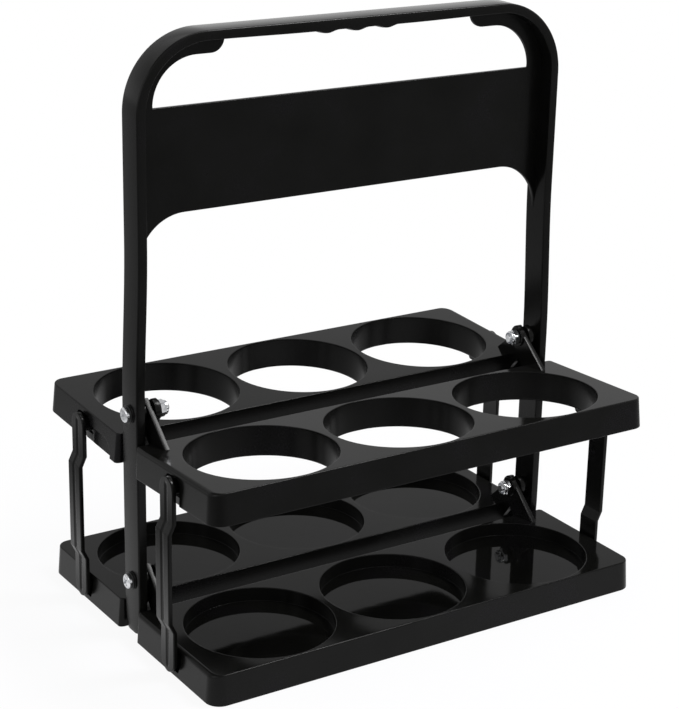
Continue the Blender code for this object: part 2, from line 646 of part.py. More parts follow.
def build():
    """The whole carrier, opened flat on the floor."""
    for old in list(bpy.data.objects):
        bpy.data.objects.remove(old, do_unlink=True)
    plastic = material("black_abs", ABS_COLOUR, 0.22, 0.0)
    steel = material("zinc_plated_steel", STEEL_COLOUR, 0.2, 1.0)
    nylon = material("nylon", NYLON_COLOUR, 0.4, 0.0)
    handle_frame(plastic)
    for row, name, turn in ((-1, "front", math.pi), (1, "back", 0)):
        tray(f"upper_{name}_tray", False, UPPER_TILT, turn, UPPER_PIVOT, plastic)
        tray(f"lower_{name}_tray", True, 0, turn, LOWER_PIVOT, plastic)
        for side, end in ((-1, "left"), (1, "right")):
            link(f"link_{name}_{end}", side, row, plastic)
    pivots(steel, plastic, nylon)
    bpy.context.view_layer.update()


build()
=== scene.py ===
"""Looks for the folding bottle carrier: its mouldings, fittings and finishes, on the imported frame.

Lengths are in millimetres until a piece is made. Trays and links are drawn about the pivots that
they turn on, and the handle frame where it stands.
"""
import json
import math

import bmesh
import bpy
import numpy as np
from mathutils import Matrix, Vector


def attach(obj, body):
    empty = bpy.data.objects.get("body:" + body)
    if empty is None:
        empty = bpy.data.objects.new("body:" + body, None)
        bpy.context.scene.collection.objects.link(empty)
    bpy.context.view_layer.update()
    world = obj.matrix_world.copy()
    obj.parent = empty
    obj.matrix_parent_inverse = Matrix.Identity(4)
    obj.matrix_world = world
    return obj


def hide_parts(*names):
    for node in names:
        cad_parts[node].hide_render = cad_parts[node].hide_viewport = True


MM = 0.001
DEG = math.pi / 180

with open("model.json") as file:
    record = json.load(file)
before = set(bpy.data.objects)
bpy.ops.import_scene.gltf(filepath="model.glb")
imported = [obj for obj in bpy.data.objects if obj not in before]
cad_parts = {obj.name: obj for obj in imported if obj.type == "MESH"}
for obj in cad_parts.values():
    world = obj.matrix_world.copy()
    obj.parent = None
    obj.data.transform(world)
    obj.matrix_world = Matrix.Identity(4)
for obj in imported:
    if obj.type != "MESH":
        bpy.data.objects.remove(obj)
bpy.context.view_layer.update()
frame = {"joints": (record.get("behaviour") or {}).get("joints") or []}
JOINTS = {joint["name"]: Vector(joint["pos_m"]) / MM for joint in frame["joints"]}
UPPER_PIVOT = JOINTS["back_fold"].z
LOWER_PIVOT = JOINTS["back_lower_fold"].z
LINK_PIN = JOINTS["back_link_right"]
LINK_SPAN = UPPER_PIVOT - LOWER_PIVOT

# Where forms meet: the clearance between pieces, how far one form is sunk in another, a moulded
# edge's small bevel, and the support row beside a rounding. Points closer than the weld become one.
GAP, SINK, EDGE_BREAK = 0.3, 0.3, 0.3
SUPPORT, SUPPORT_SHARE = 0.3, 0.4
WELD, SLIVER, SHARP_ANGLE = 0.002, 0.001, 38 * DEG
STRAIGHT_SHARE = 0.999

# Bottle holes and the tubes round them
HOLE_RADIUS, HOLE_TAPER, HOLE_WEB, HOLE_RIM = 39.8, 0.8, 4.0, 1.3
TUBE_WALL, TUBE_ROOM = 1.6, 0.15
HOLE_STEP = 2.5 * DEG
HOLE_WALL_SHARES = (0.04, 0.5, 0.96, 1.0)

# Trays, about their pivot axis
TRAY_END, TRAY_HEIGHT, PIVOT_RISE, LEG_TRAY_CLEARANCE = 10.4, 16.6, 14.6, 0.9
TRAY_CORNER, INNER_CORNER, TRAY_DRAFT, TRAY_WALL, DECK_THICKNESS = 7.0, 2.2, 1.2, 2.0, 2.0
CUP_DEPTH, CUP_FLOOR = 7.6, 2.0
EDGE_ROUND, END_ROUND, RIM_ROUND, FOOT_ROUND, CUP_ROUND = 0.6, 2.2, 0.35, 0.3, 0.2
UPPER_TILT = 2.6 * DEG
END_STEP = 0.4

# Recesses in the trays' end walls, and the plates and lugs that carry the links' pins
RECESS_DEPTH, RECESS_ROUND, BEARING_THICKNESS, BEARING_HALF = 4.8, 0.55, 2.4, 10.0
LUG_HALF, LUG_DROP, LUG_RISE, LUG_CORNER, LUG_ROUND = 7.7, 4.2, 2.0, 2.0, 0.3
UPPER_RECESS_HALF, UPPER_RECESS_LIP, UPPER_RECESS_CORNER = 8.0, 3.0, 5.0
LOWER_RECESS_FOOT, LOWER_RECESS_TOP, LOWER_RECESS_CORNER = 5.6, 7.8, 1.0
LOWER_RECESS_LIP, LOWER_RECESS_SILL = 2.2, 2.8
POCKET_DEPTH, POCKET_START, POCKET_LIP, POCKET_CORNER, POCKET_LEAN = 0.8, 16.5, 7.0, 10.0, 0.9

# Ears
EAR_THICKNESS, EAR_BOSS_RADIUS, EAR_BOSS_HEIGHT, EAR_BOSS_ROUND = 3.0, 5.6, 1.1, 0.25
EAR_RADIUS, EAR_SLOPE_REACH, EAR_FOOT, EAR_DEPTH, EAR_ROUND = 6.5, 4.5, 22.4, 9.0, 0.3

# Links
LINK_STANDOFF, LINK_THICKNESS, LINK_HALF = 1.8, 2.3, 6.8
LINK_BOW, LINK_BOW_START, LINK_BOW_RUN = 2.6, 16.8, 5.5
LINK_ROUND, LINK_GROOVE_HALF, LINK_GROOVE_DEPTH = 0.6, 1.2, 0.5
GROOVE_START, GROOVE_RUN, GROOVE_EDGE_SHARE = 2.0, 2.5, 1.35
LINK_BOSS, PIN_RADIUS, BARB_RADIUS, BARB_FLAT, BARB_LENGTH = 4.5, 2.5, 3.3, 0.4, 0.9

# Handle frame. The foot's heights are above the floor, and each has its share of the full depth in
# the row below them.
HANDLE_INSET, HANDLE_TOP, HANDLE_DEPTH, HANDLE_THICKNESS = 1.7, 318.8, 16.4, 5.0
HANDLE_SPREAD, SPREAD_DROP, SPREAD_RUN = 2.5, 103.8, 90.0
HANDLE_CORNER, HANDLE_ROUND, INNER_ROUND = 40.0, 0.9, 0.4
FOOT_HEIGHTS = (1.6, 1.95, 3.4, 5, 9, 13, 17, 20.9, 22.9)
FOOT_DEPTH_SHARES = (0.5, 0.66, 0.78, 0.82, 0.89, 0.945, 0.98, 0.998, 1)
LEG_START, GRIP_START = 2, 4
WEB_FRONT, WEB_THICKNESS, WEB_ROUND = 1.3, 2.5, 0.45
PANEL_DROP, PANEL_HEIGHT, PANEL_ARCH = 38.0, 54.3, 26.0
GUSSET_WIDTH, GUSSET_DROP, GUSSET_NOSE, GRIP_CLEAR_WIDTH = 8.7, 8.3, 7.5, 151.0
FINGER_PITCH, FINGER_WIDTH, FINGER_RISE, FINGER_SHIFT = 18.2, 14.0, 1.9, 2.9
GRIP_SWELL, SWELL_RUN, EDGE_LOSS_SHARE = 0.8, 60.0, 0.3
UNDERSIDE_SHARES = (0.2, 0.45, 0.75)

# Screws, washers, nuts and the frame's bosses under them
OUTER_BOSS, OUTER_BOSS_HEIGHT, BOSS_SINK = 4.9, 0.3, 1
INNER_BOSS, INNER_BOSS_HEIGHT, INNER_BOSS_DRAFT = 4.5, 3.1, 0.2
WASHER_RADIUS, WASHER_THICKNESS, FITTING_ROUND = 4.9, 0.8, 0.2
SCREW_RADIUS, SCREW_CHAMFER, SCREW_PAST_NUT = 2.25, 0.35, 0.9
THREAD_PITCH, THREAD_DEPTH = 0.8, 0.22
HEAD_RADIUS, HEAD_HEIGHT, HEAD_RIM_SHARE, HEAD_SINK = 4.0, 2.1, 0.35, 0.2
CROSS_HALF, CROSS_SIDE, CROSS_REACH, CROSS_END = 0.62, 0.22, 2.35, 0.35
CROSS_DEPTH, CROSS_SLOPE = 1.45, 0.25
NUT_FLATS, NUT_HEX_HEIGHT, NUT_HEIGHT, NUT_FACE_EDGE = 8.0, 3.2, 4.8, 0.1
NUT_CONE_SLOPE, NUT_CONE_DEPTHS = 1.7, (0.04, 0.12, 0.2, 0.3, 0.42)
COLLAR_RADIUS, COLLAR_ROUND, COLLAR_WALL, COLLAR_LIP = 3.8, 0.7, 0.85, 0.35
RING_GAP, RING_START, RING_DROP = 0.1, 0.2, 0.45

# Places worked out from the sizes above
HOLE_FOOT_RADIUS, TUBE_RADIUS = HOLE_RADIUS - HOLE_TAPER, HOLE_RADIUS + TUBE_WALL
HOLE_PITCH = 2 * HOLE_RADIUS + HOLE_WEB
TRAY_HALF = HOLE_PITCH + HOLE_RADIUS + TRAY_END
TRAY_INNER = HANDLE_DEPTH / 2 + LEG_TRAY_CLEARANCE
TRAY_OUTER = TRAY_INNER + 2 * (HOLE_RADIUS + HOLE_RIM)
TRAY_MIDDLE = (TRAY_INNER + TRAY_OUTER) / 2
DECK, TRAY_BOTTOM = -PIVOT_RISE, -(PIVOT_RISE + TRAY_HEIGHT)
RECESS_FLOOR, POCKET_FLOOR = TRAY_HALF - RECESS_DEPTH, TRAY_HALF - POCKET_DEPTH
BEARING_BACK = RECESS_FLOOR - BEARING_THICKNESS
LINK_INNER = TRAY_HALF + LINK_STANDOFF
HANDLE_HALF = TRAY_HALF - HANDLE_INSET
LEG_INNER = HANDLE_HALF - HANDLE_THICKNESS
LOOP_HALF = HANDLE_HALF - HANDLE_SPREAD
LOOP_INNER = LOOP_HALF - HANDLE_THICKNESS
SPREAD_START = HANDLE_TOP - SPREAD_DROP - SPREAD_RUN
PANEL_TOP = HANDLE_TOP - PANEL_DROP
PANEL_BOTTOM = PANEL_TOP - PANEL_HEIGHT
GUSSET_TOP = HANDLE_TOP - HANDLE_THICKNESS - GUSSET_DROP
OPENING_SIDE, GRIP_CLEAR = LOOP_INNER - GUSSET_WIDTH, GRIP_CLEAR_WIDTH / 2
WEB_BACK = WEB_FRONT + WEB_THICKNESS
INNER_BOSS_FACE = LEG_INNER - INNER_BOSS_HEIGHT
OUTER_EAR = INNER_BOSS_FACE - GAP
INNER_EAR = OUTER_EAR - EAR_THICKNESS - 2 * GAP
NUT_FACE = INNER_EAR - EAR_THICKNESS - EAR_BOSS_HEIGHT - GAP
BOSS_FACE = HANDLE_HALF + OUTER_BOSS_HEIGHT
WASHER_FACE = BOSS_FACE + GAP
HEAD_FACE = WASHER_FACE + WASHER_THICKNESS + GAP
BORE_RADIUS = SCREW_RADIUS + GAP


def linear(code):
    """The linear colour of an sRGB hex code."""
    channels = [int(code[i:i + 2], 16) / 255 for i in (1, 3, 5)]
    return [c / 12.92 if c <= 0.04045 else ((c + 0.055) / 1.055) ** 2.4 for c in channels] + [1]


def add(tree, kind, values=(), links=(), **settings):
    """Adds a node with its settings, its sockets' values and its links from other nodes' sockets."""
    node = tree.nodes.new(kind)
    for key, value in settings.items():
        setattr(node, key, value)
    for socket, value in dict(values).items():
        node.inputs[socket].default_value = value
    for socket, source in dict(links).items():
        tree.links.new(source, node.inputs[socket])
    return node


def per_mm(size):
    """A texture's scale whose features are that many millimetres wide."""
    return 1 / (size * MM)


def ramp(tree, source, stops):
    """A colour ramp through (position, hex colour) stops."""
    node = add(tree, "ShaderNodeValToRGB", links={"Fac": source})
    elements = node.color_ramp.elements
    while len(elements) < len(stops):
        elements.new(0.5)
    for element, (position, code) in zip(elements, stops):
        element.position = position
        element.color = linear(code)
    return node


def surface(name, metallic, specular):
    """A material with its Principled shader and object coordinates."""
    finish = bpy.data.materials.new(name)
    finish.use_nodes = True
    tree = finish.node_tree
    shader = tree.nodes["Principled BSDF"]
    shader.inputs["Metallic"].default_value = metallic
    shader.inputs["Specular IOR Level"].default_value = specular
    place = add(tree, "ShaderNodeTexCoord").outputs["Object"]
    return finish, tree, shader, place


def moulded_abs():
    """Injection-moulded ABS: deep black and glossy, with faint flow clouds about 38 mm wide, sink
    ripple of 16 mm and dust of about 1 mm. Faces that look up are polished in the mould: the decks
    are glossier than the walls, and the lowest ones, the cups' floors, are near mirrors."""
    finish, tree, shader, place = surface("moulded_abs", 0.0, 0.14)
    clouds = add(tree, "ShaderNodeTexNoise", {"Scale": per_mm(38), "Detail": 3.0}, {"Vector": place})
    grain = add(tree, "ShaderNodeTexNoise", {"Scale": per_mm(1.1), "Detail": 4.0}, {"Vector": place})
    tint = ramp(tree, clouds.outputs["Fac"], [(0.3, "#080807"), (0.55, "#0c0c0b"), (0.75, "#0e0d0f")])
    tree.links.new(tint.outputs["Color"], shader.inputs["Base Color"])
    blur = add(tree, "ShaderNodeMapRange", {"From Min": 0.3, "From Max": 0.7, "To Min": 0.2,
                                            "To Max": 0.27}, {"Value": clouds.outputs["Fac"]})
    facing = add(tree, "ShaderNodeSeparateXYZ",
                 links={0: add(tree, "ShaderNodeTexCoord").outputs["Normal"]})
    upward = add(tree, "ShaderNodeMapRange", {"From Min": 0.8, "From Max": 0.98, "To Min": 1.0,
                                              "To Max": 0.42}, {"Value": facing.outputs["Z"]})
    height = add(tree, "ShaderNodeSeparateXYZ", links={0: place})
    low = add(tree, "ShaderNodeMapRange", {"From Min": 11 * MM, "From Max": 13 * MM, "To Min": 0.4,
                                           "To Max": 1.0}, {"Value": height.outputs["Z"]})
    cup = add(tree, "ShaderNodeMath", {1: 1.0}, {0: upward.outputs[0]}, operation='LESS_THAN')
    polish = add(tree, "ShaderNodeMix", {2: 1.0}, {0: cup.outputs[0], 3: low.outputs[0]})
    speck = add(tree, "ShaderNodeMapRange", {"From Min": 0.35, "From Max": 0.75, "To Min": 0.0,
                                             "To Max": 0.03}, {"Value": grain.outputs["Fac"]})
    total = add(tree, "ShaderNodeMath", links={0: blur.outputs[0], 1: speck.outputs[0]},
                operation='ADD')
    total = add(tree, "ShaderNodeMath", links={0: total.outputs[0], 1: upward.outputs[0]},
                operation='MULTIPLY')
    total = add(tree, "ShaderNodeMath", links={0: total.outputs[0], 1: polish.outputs[0]},
                operation='MULTIPLY')
    tree.links.new(total.outputs[0], shader.inputs["Roughness"])
    sink = add(tree, "ShaderNodeTexNoise", {"Scale": per_mm(16), "Detail": 1.0}, {"Vector": place})
    wave = add(tree, "ShaderNodeBump", {"Strength": 0.08, "Distance": 0.3 * MM},
               {"Height": sink.outputs["Fac"]})
    ripple = add(tree, "ShaderNodeBump", {"Strength": 0.06, "Distance": 0.03 * MM},
                 {"Height": grain.outputs["Fac"], "Normal": wave.outputs[0]})
    tree.links.new(ripple.outputs[0], shader.inputs["Normal"])
    return finish


def bright_zinc():
    """Bright zinc plate on steel: near mirror, with fine turning marks and a clouded passivate."""
    finish, tree, shader, place = surface("bright_zinc", 1.0, 0.5)
    clouds = add(tree, "ShaderNodeTexNoise", {"Scale": per_mm(2.2), "Detail": 3.0}, {"Vector": place})
    tint = ramp(tree, clouds.outputs["Fac"], [(0.35, "#c9cbce"), (0.65, "#e9eaec")])
    tree.links.new(tint.outputs["Color"], shader.inputs["Base Color"])
    blur = add(tree, "ShaderNodeMapRange", {"From Min": 0.3, "From Max": 0.7, "To Min": 0.08,
                                            "To Max": 0.2}, {"Value": clouds.outputs["Fac"]})
    tree.links.new(blur.outputs[0], shader.inputs["Roughness"])
    marks = add(tree, "ShaderNodeTexNoise", {"Scale": per_mm(0.5)}, {"Vector": place})
    bump = add(tree, "ShaderNodeBump", {"Strength": 0.2, "Distance": 0.02 * MM},
               {"Height": marks.outputs["Fac"]})
    tree.links.new(bump.outputs[0], shader.inputs["Normal"])
    return finish


def plain_nylon(name, dark, light, low, high):
    """Turned or moulded nylon: soft sheen, slightly uneven, with a fine matt grain."""
    finish, tree, shader, place = surface(name, 0.0, 0.4)
    grain = add(tree, "ShaderNodeTexNoise", {"Scale": per_mm(0.8), "Detail": 3.0}, {"Vector": place})
    tint = ramp(tree, grain.outputs["Fac"], [(0.3, dark), (0.7, light)])
    tree.links.new(tint.outputs["Color"], shader.inputs["Base Color"])
    blur = add(tree, "ShaderNodeMapRange", {"To Min": low, "To Max": high},
               {"Value": grain.outputs["Fac"]})
    tree.links.new(blur.outputs[0], shader.inputs["Roughness"])
    bump = add(tree, "ShaderNodeBump", {"Strength": 0.15, "Distance": 0.03 * MM},
               {"Height": grain.outputs["Fac"]})
    tree.links.new(bump.outputs[0], shader.inputs["Normal"])
    return finish


def grid_faces(rows, cols, around, keep):
    """Corner indices of a grid's faces. Around joins the last column to the first, and faces are
    made only between columns that are kept."""
    row = np.arange(rows - 1)[:, None]
    col = np.arange(cols if around else cols - 1)
    if keep is not None:
        col = col[keep[col] & keep[(col + 1) % cols]]
    after = (col + 1) % cols
    corners = (row * cols + col, row * cols + after, (row + 1) * cols + after, (row + 1) * cols + col)
    return np.stack(corners, -1).reshape(-1, 4)


def piece(name, grids, body, finish, stands_for=(), place=None, caps=()):
    """Joins grids of points into one closed mesh that rides on a CAD body. A grid is (points, around,
    kept columns), and caps are rings of points filled flat."""
    points, faces, start = [], [], 0
    for grid, around, keep in grids:
        rows, cols = grid.shape[:2]
        points.append(grid.reshape(-1, 3))
        faces += (grid_faces(rows, cols, around, keep) + start).tolist()
        start += rows * cols
    for ring in caps:
        points.append(ring)
        faces.append(list(range(start, start + len(ring))))
        start += len(ring)
    mesh = bpy.data.meshes.new(name)
    mesh.from_pydata((np.concatenate(points) * MM).tolist(), [], faces)
    build = bmesh.new()
    build.from_mesh(mesh)
    bmesh.ops.delete(build, geom=[v for v in build.verts if not v.link_faces], context='VERTS')
    bmesh.ops.remove_doubles(build, verts=build.verts, dist=WELD * MM)
    bmesh.ops.dissolve_degenerate(build, edges=build.edges, dist=SLIVER * MM)
    bmesh.ops.recalc_face_normals(build, faces=build.faces)
    build.to_mesh(mesh)
    build.free()
    if place:
        mesh.transform(place)
    mesh.shade_smooth()
    mesh.set_sharp_from_angle(angle=SHARP_ANGLE)
    mesh.materials.append(finish)
    obj = bpy.data.objects.new(name, mesh)
    bpy.context.scene.collection.objects.link(obj)
    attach(obj, body)
    if stands_for:
        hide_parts(*stands_for)


def cross(a, b):
    """The flat cross product of two sets of plan vectors."""
    return a[..., 0] * b[..., 1] - a[..., 1] * b[..., 0]


def smooth_step(share):
    """3s^2 - 2s^3, held at 0 and 1 outside its range."""
    share = np.clip(share, 0, 1)
    return share * share * (3 - 2 * share)


def corner_turns(steps, start=0.0, end=90.0):
    """Angles in radians, from start to end in degrees."""
    return np.linspace(start, end, steps + 1) * DEG


def straight_edge(centre, start, end):
    """Points of a straight edge where rays from the centre, at even angles, meet it. The end is left
    to the next edge."""
    start, end = np.array(start, float), np.array(end, float)
    first, last = start - centre, end - centre
    low, high = math.atan2(first[1], first[0]), math.atan2(last[1], last[0])
    sweep = (high - low + math.pi) % (2 * math.pi) - math.pi
    count = max(2, math.ceil(abs(sweep) / HOLE_STEP))
    turn = low + sweep * np.arange(count) / count
    ray = np.stack((np.cos(turn), np.sin(turn)), -1)
    along = end - start
    return centre + ray * (cross(first, along) / cross(ray, along))[:, None]


def edge_round(outward):
    """The deck edge's rounding: larger where the edge faces right, with a smooth change round the
    corners."""
    return EDGE_ROUND + (END_ROUND - EDGE_ROUND) * np.maximum(outward[:, 0], 0) ** 2


def hole_cell(index):
    """The plan of one hole's part of a tray: the deck's edge points anticlockwise, their outward
    directions, and which of them lie on the tray's own rim."""
    centre = np.array([HOLE_PITCH * (index - 1), TRAY_MIDDLE])
    ends = {1: index == 2, -1: index == 0}
    corner = {1: TRAY_CORNER, -1: INNER_CORNER}
    side_x = {1: TRAY_HALF - END_ROUND if ends[1] else centre[0] + HOLE_PITCH / 2,
              -1: EDGE_ROUND - TRAY_HALF if ends[-1] else centre[0] - HOLE_PITCH / 2}
    side_y = {1: TRAY_OUTER, -1: TRAY_INNER}
    points, outward, rim = [], [], []

    def reach(across, up):
        return across * (TRAY_HALF - corner[up]) if ends[across] else side_x[across]

    def bend(across, up, start):
        turn = corner_turns(10)[:-1] + start
        ray = np.stack((np.cos(turn), np.sin(turn)), -1)
        middle = np.array([reach(across, up), side_y[up] - up * corner[up]])
        points.append(middle + (corner[up] - edge_round(ray))[:, None] * ray)
        outward.append(ray)
        rim.append(np.full(len(ray), True))

    def extend(new, direction, on_rim):
        points.append(new)
        outward.append(np.broadcast_to(np.array(direction, float), new.shape))
        rim.append(np.broadcast_to(on_rim, len(new)))

    for s in (1, -1):
        if ends[s]:
            run = np.array([side_y[-s] + s * corner[-s], side_y[s] - s * corner[s]])
            count = math.ceil(abs(run[1] - run[0]) / END_STEP)
            y = run[0] + (run[1] - run[0]) * np.arange(count) / count
            extend(np.stack((np.full(count, side_x[s]), y), -1), (s, 0), True)
            bend(s, s, 0 if s > 0 else math.pi)
        else:
            new = straight_edge(centre, (side_x[s], side_y[-s] + s * EDGE_ROUND),
                                (side_x[s], side_y[s] - s * EDGE_ROUND))
            extend(new, (0, -s), np.arange(len(new)) == 0)
        level = side_y[s] - s * EDGE_ROUND
        extend(straight_edge(centre, (reach(s, s), level), (reach(-s, s), level)), (0, s), True)
        if ends[-s]:
            bend(-s, s, math.pi / 2 if s > 0 else -math.pi / 2)
    return centre, np.concatenate(points), np.concatenate(outward), np.concatenate(rim)


def corner_distance(across, up, radius):
    """The distance outside a quarter-plane with a round corner, negative inside it."""
    away = np.hypot(np.maximum(across + radius, 0), np.maximum(up + radius, 0))
    return away + np.minimum(np.maximum(across, up) + radius, 0) - radius


def recess_share(distance):
    """How far a recess has gone in: 0 at its edge, 1 from one rounding inside it."""
    return smooth_step(-distance / RECESS_ROUND)


def end_wall(x, y, z, pin, cup, left):
    """The end wall's outer face with the link's recess and, at an upper tray's left end, the shallow
    pocket whose floor leans in towards the bottom: the face goes in from its own place to the floor."""
    if cup:
        top, sill = DECK - LOWER_RECESS_LIP, TRAY_BOTTOM + LOWER_RECESS_SILL
        rise = np.clip((z - sill) / (top - sill), 0, 1)
        half = LOWER_RECESS_FOOT + (LOWER_RECESS_TOP - LOWER_RECESS_FOOT) * rise
        notch = corner_distance(np.abs(y - pin[0]) - half, np.maximum(z - top, sill - z),
                                LOWER_RECESS_CORNER)
        return x - recess_share(notch) * (x - RECESS_FLOOR)
    across = np.abs(y - pin[0]) - UPPER_RECESS_HALF
    notch = corner_distance(across, z - DECK + UPPER_RECESS_LIP, UPPER_RECESS_CORNER)
    pocket = corner_distance(POCKET_START - y, z - DECK + POCKET_LIP, POCKET_CORNER)
    pocket = np.maximum(pocket, y - pin[0])
    floor = POCKET_FLOOR - POCKET_LEAN * np.clip((DECK - z) / (DECK - TRAY_BOTTOM), 0, 1)
    x = x - recess_share(pocket) * (x - floor) * left
    return x - recess_share(notch) * (x - RECESS_FLOOR)


def rim_point(edge, outward, offset, z, pin, cup, inside=False):
    """A point of the skirt: the deck's edge point moved outward by the offset and the draft, which
    grows towards the bottom on the ends and the outer side."""
    share = (DECK - z) / (DECK - TRAY_BOTTOM)
    lean = np.stack((outward[:, 0], np.maximum(outward[:, 1], 0)), -1) * TRAY_DRAFT
    plan = edge + outward * offset[:, None] + lean * share[:, None]
    x, y = plan[:, 0].copy(), plan[:, 1]
    end = np.abs(outward[:, 0]) > STRAIGHT_SHARE
    side = np.sign(outward[:, 0])
    if inside:
        bearing = recess_share(np.abs(y - pin[0]) - BEARING_HALF)
        moved = np.abs(x) - bearing * (np.abs(x) - BEARING_BACK)
    else:
        moved = end_wall(np.abs(x), y, z, pin, cup, side < 0)
    x = np.where(end, side * moved, x)
    return np.stack((x, y, z), -1)


def tray_cell(index, pin, cup):
    """Grids of one hole's part of the tray. The first goes from the deck's edge in to the hole, down
    its wall and out along the underside; the second is the skirt round the outside; a lower tray has
    its underside as a third."""
    centre, edge, outward, rim = hole_cell(index)
    ray = edge - centre
    far = np.hypot(ray[:, 0], ray[:, 1])
    ray = ray / far[:, None]
    rounding = edge_round(outward)

    def ring(radius, z):
        radius = np.broadcast_to(radius, far.shape)
        z = np.broadcast_to(z, far.shape)
        return np.column_stack((centre + ray * radius[:, None], z))

    flat = np.full(len(edge), float(DECK))
    inner = rim_point(edge, outward, rounding - TRAY_WALL, flat - DECK_THICKNESS, pin, cup, True)
    inner[~rim] = np.column_stack((edge, flat - DECK_THICKNESS))[~rim]
    room = np.hypot(*(inner[:, :2] - centre).T)
    open_below = room > TUBE_RADIUS + TUBE_ROOM
    ceiling = np.where(open_below, DECK - DECK_THICKNESS, TRAY_BOTTOM)
    tube = np.where(open_below, TUBE_RADIUS, (room + HOLE_FOOT_RADIUS) / 2)
    inner_top = rim_point(edge, outward, rounding - TRAY_WALL, ceiling, pin, cup, True)
    inner_top[~rim] = np.column_stack((edge, ceiling))[~rim]

    lip = HOLE_RADIUS + RIM_ROUND
    support = np.minimum(SUPPORT, (far - lip) * SUPPORT_SHARE)
    rows = [np.column_stack((edge, flat)), ring(far - support, DECK), ring(lip + support, DECK)]
    for turn in corner_turns(4):
        rows.append(ring(lip - RIM_ROUND * math.sin(turn), DECK - RIM_ROUND * (1 - math.cos(turn))))
    floor = DECK - CUP_DEPTH if cup else TRAY_BOTTOM
    foot_round = CUP_ROUND if cup else FOOT_ROUND
    wall_drop = DECK - RIM_ROUND - floor - foot_round
    slope = (HOLE_RADIUS - HOLE_FOOT_RADIUS) / (DECK - TRAY_BOTTOM)
    for share in HOLE_WALL_SHARES:
        drop = wall_drop * share
        rows.append(ring(HOLE_RADIUS - slope * drop, DECK - RIM_ROUND - drop))
    foot = HOLE_RADIUS - slope * wall_drop
    grids = []
    if cup:
        for turn in corner_turns(5)[1:]:
            rows.append(ring(foot - CUP_ROUND * (1 - math.cos(turn)),
                             floor + CUP_ROUND * (1 - math.sin(turn))))
        rows += [ring(foot - CUP_ROUND - SUPPORT, floor), ring(foot / 2, floor), ring(0, floor)]
        grids.append((np.stack(rows), True, None))
        under = floor - CUP_FLOOR
        rows = [ring(0, under), ring(foot / 2, under), ring(foot - SUPPORT, under), ring(foot, under),
                ring(HOLE_FOOT_RADIUS, TRAY_BOTTOM)]
    else:
        for turn in corner_turns(3)[1:]:
            rows.append(ring(foot + FOOT_ROUND * (1 - math.cos(turn)),
                             floor + FOOT_ROUND * (1 - math.sin(turn))))
    rows += [ring(tube, TRAY_BOTTOM), ring(tube, ceiling), inner_top]
    grids.append((np.stack(rows), True, None))

    rows = []
    for turn in corner_turns(6):
        z = flat - rounding * (1 - math.cos(turn))
        rows.append(rim_point(edge, outward, rounding * math.sin(turn), z, pin, cup))
    drop = DECK - rounding - TRAY_BOTTOM - FOOT_ROUND
    for share in np.linspace(0, 1, math.ceil(drop.max() / END_STEP))[1:]:
        rows.append(rim_point(edge, outward, rounding, flat - rounding - drop * share, pin, cup))
    for turn in corner_turns(3)[1:]:
        z = flat * 0 + TRAY_BOTTOM + FOOT_ROUND * (1 - math.sin(turn))
        offset = rounding - FOOT_ROUND * (1 - math.cos(turn))
        rows.append(rim_point(edge, outward, offset, z, pin, cup))
    for share in (0, 0.5, 1):
        z = TRAY_BOTTOM + (ceiling - TRAY_BOTTOM) * share
        rows.append(rim_point(edge, outward, rounding - TRAY_WALL, z, pin, cup, True))
    grids.append((np.stack(rows), True, rim))
    return grids


def inset_outline(outline, distance):
    """A closed outline moved in along its own normals by the distance."""
    along = np.roll(outline, -1, 0) - np.roll(outline, 1, 0)
    normal = np.stack((along[:, 1], -along[:, 0]), -1)
    normal = normal / np.hypot(normal[:, 0], normal[:, 1])[:, None]
    return outline - normal * distance


def edge_rows(rounding, start, end, steps=4):
    """(inset, place) pairs across a plate from start to end: in by the rounding at each face and out
    to the full outline between them, along two quarter circles."""
    turns = corner_turns(steps)
    first = [(rounding * (1 - math.sin(t)), start + rounding * (1 - math.cos(t))) for t in turns]
    return first + [(inset, start + end - place) for inset, place in reversed(first)]


def ear_outline():
    """The gusset about its screw: a round crown, a straight slope that passes its reach from the
    screw's axis down to the deck, and a foot sunk in the tray."""
    foot = np.array([EAR_FOOT, DECK])
    root = np.array([TRAY_INNER + SINK, DECK - EAR_DEPTH])
    square = math.atan2(foot[1], foot[0]) + math.acos(EAR_SLOPE_REACH / math.hypot(*foot))
    start = square + math.acos(EAR_SLOPE_REACH / EAR_RADIUS)
    end = math.atan2(root[1], root[0]) - math.acos(EAR_RADIUS / math.hypot(*root)) + 2 * math.pi
    turn = np.linspace(start, end, 36)
    crown = EAR_RADIUS * np.stack((np.cos(turn), np.sin(turn)), -1)
    share = np.linspace(0, 1, 24)[1:-1, None]
    sunk, inside = DECK - DECK_THICKNESS + SINK, TRAY_INNER + TRAY_WALL - SINK
    heel = np.array([[inside, DECK - EAR_DEPTH], [inside, sunk], [EAR_FOOT, sunk]])
    slope = foot + (crown[0] - foot) * share
    back = crown[-1] + (root - crown[-1]) * share
    return np.concatenate((foot[None], slope, crown, back, root[None], heel))


def ear(near, far):
    """One ear between two places along X: faces run from the bore out to the rounded outline."""
    outline = ear_outline()
    turn = np.arctan2(outline[:, 1], outline[:, 0])
    bore = BORE_RADIUS * np.stack((np.cos(turn), np.sin(turn)), -1)
    rows = [(bore, near), (inset_outline(outline, EAR_ROUND + SUPPORT), near)]
    rows += [(inset_outline(outline, inset), place) for inset, place in edge_rows(EAR_ROUND, near, far)]
    rows += [(inset_outline(outline, EAR_ROUND + SUPPORT), far), (bore, far), (bore, near)]
    grid = np.stack([np.column_stack((np.full(len(plan), place), plan)) for plan, place in rows])
    return grid, True, None


